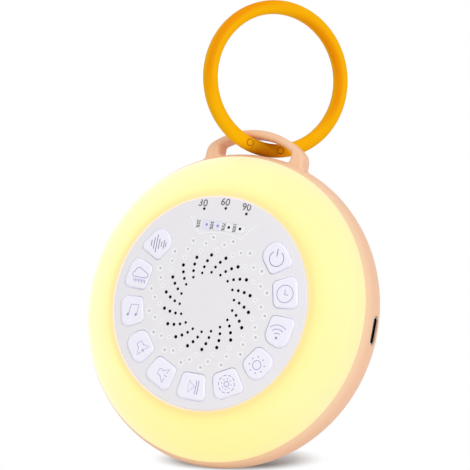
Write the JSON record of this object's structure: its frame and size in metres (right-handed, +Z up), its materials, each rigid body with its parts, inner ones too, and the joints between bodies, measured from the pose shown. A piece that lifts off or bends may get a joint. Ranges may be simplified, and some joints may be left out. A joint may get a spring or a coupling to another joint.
{
  "type": "white noise sound machine",
  "caption": "Round portable sound machine with a glowing rim, a perforated speaker panel, soft keys round it, a charge gauge and a carry ring hung in a loop.",
  "frame": {"origin": "centre of the flat back face", "axes": "+Z up towards the hanging loop and the ring, -Y towards the keys, +X to the right seen from the front, where the charging socket is"},
  "size_m": [0.1047, 0.0423, 0.1581],
  "materials": {
    "peach_shell": "satin moulded, warm peach",
    "glow_ring": "milky diffusing plastic, warm white when lit",
    "white_panel": "fine matte white",
    "white_keys": "soft-touch cool white with printed lilac symbols",
    "window_strip": "thin printed strip",
    "dark_pipe": "smoked clear, polished",
    "lamp_body": "small light-emitting diode bodies",
    "circuit_board": "green solder mask",
    "black_plastic": "black moulded",
    "steel": "zinc plated",
    "socket_steel": "drawn steel shell",
    "magnet": "dark sintered ferrite",
    "cone_film": "dark formed film",
    "cloth": "fine black mesh cloth",
    "foam": "closed-cell foam",
    "inner_plastic": "plain moulded",
    "reflector_film": "white film",
    "connector_white": "ivory moulded",
    "cell_wrap": "laminated foil pouch",
    "lead_red": "insulated wire",
    "orange_ring": "satin moulded, golden orange",
    "orange_pin": "satin moulded, golden orange"
  },
  "bodies": {
    "ring": {"carry_ring": "orange_ring", "ring_link": "orange_ring", "ring_link_pins": "orange_pin"},
    "housing": {"rear_housing": "peach_shell", "light_diffuser": "glow_ring", "front_panel": "white_panel", "gauge_window": "window_strip", "timer_light_pipes": "dark_pipe", "gauge_light_pipes": "dark_pipe", "indicator_lamps": "lamp_body", "key_board": "circuit_board", "key_switches": "black_plastic", "switch_plungers": "black_plastic", "key_board_screws": "steel", "speaker_cloth": "cloth", "speaker_gasket": "foam", "speaker_frame": "steel", "speaker_magnet": "magnet", "speaker_cone": "cone_film", "inner_frame": "inner_plastic", "ring_board": "circuit_board", "ring_lamps": "lamp_body", "reflector_sheet": "reflector_film", "main_board": "circuit_board", "main_board_screws": "steel", "board_chips": "black_plastic", "board_header": "black_plastic", "cell_connector": "connector_white", "charging_socket": "socket_steel", "socket_tongue": "black_plastic", "battery_cell": "cell_wrap", "battery_foam": "foam", "battery_leads": "lead_red", "speaker_leads": "lead_red", "housing_screws": "steel"},
    "power_key": {"key_power": "white_keys"},
    "sleep_timer_key": {"key_sleep_timer": "white_keys"},
    "wireless_key": {"key_wireless": "white_keys"},
    "brightness_key": {"key_brightness": "white_keys"},
    "light_mode_key": {"key_light_mode": "white_keys"},
    "play_key": {"key_play": "white_keys"},
    "volume_down_key": {"key_volume_down": "white_keys"},
    "volume_up_key": {"key_volume_up": "white_keys"},
    "music_key": {"key_music": "white_keys"},
    "rain_key": {"key_rain": "white_keys"},
    "white_noise_key": {"key_white_noise": "white_keys"}
  },
  "joints": [
    {"name": "housing_swing", "type": "hinge", "parent": "ring", "child": "housing", "pos_m": [0.0005, -0.0188, 0.05507], "axis": [0.6388, 0.7694, 0], "range_deg": [-100, 100]},
    {"name": "power_key_press", "type": "slide", "parent": "housing", "child": "power_key", "axis": [0, 1, 0], "range_m": [0, 0.00035], "stiffness_N_per_m": 400, "springref_m": -0.002},
    {"name": "sleep_timer_key_press", "type": "slide", "parent": "housing", "child": "sleep_timer_key", "axis": [0, 1, 0], "range_m": [0, 0.00035], "stiffness_N_per_m": 400, "springref_m": -0.002},
    {"name": "wireless_key_press", "type": "slide", "parent": "housing", "child": "wireless_key", "axis": [0, 1, 0], "range_m": [0, 0.00035], "stiffness_N_per_m": 400, "springref_m": -0.002},
    {"name": "brightness_key_press", "type": "slide", "parent": "housing", "child": "brightness_key", "axis": [0, 1, 0], "range_m": [0, 0.00035], "stiffness_N_per_m": 400, "springref_m": -0.002},
    {"name": "light_mode_key_press", "type": "slide", "parent": "housing", "child": "light_mode_key", "axis": [0, 1, 0], "range_m": [0, 0.00035], "stiffness_N_per_m": 400, "springref_m": -0.002},
    {"name": "play_key_press", "type": "slide", "parent": "housing", "child": "play_key", "axis": [0, 1, 0], "range_m": [0, 0.00035], "stiffness_N_per_m": 400, "springref_m": -0.002},
    {"name": "volume_down_key_press", "type": "slide", "parent": "housing", "child": "volume_down_key", "axis": [0, 1, 0], "range_m": [0, 0.00035], "stiffness_N_per_m": 400, "springref_m": -0.002},
    {"name": "volume_up_key_press", "type": "slide", "parent": "housing", "child": "volume_up_key", "axis": [0, 1, 0], "range_m": [0, 0.00035], "stiffness_N_per_m": 400, "springref_m": -0.002},
    {"name": "music_key_press", "type": "slide", "parent": "housing", "child": "music_key", "axis": [0, 1, 0], "range_m": [0, 0.00035], "stiffness_N_per_m": 400, "springref_m": -0.002},
    {"name": "rain_key_press", "type": "slide", "parent": "housing", "child": "rain_key", "axis": [0, 1, 0], "range_m": [0, 0.00035], "stiffness_N_per_m": 400, "springref_m": -0.002},
    {"name": "white_noise_key_press", "type": "slide", "parent": "housing", "child": "white_noise_key", "axis": [0, 1, 0], "range_m": [0, 0.00035], "stiffness_N_per_m": 400, "springref_m": -0.002}
  ]
}
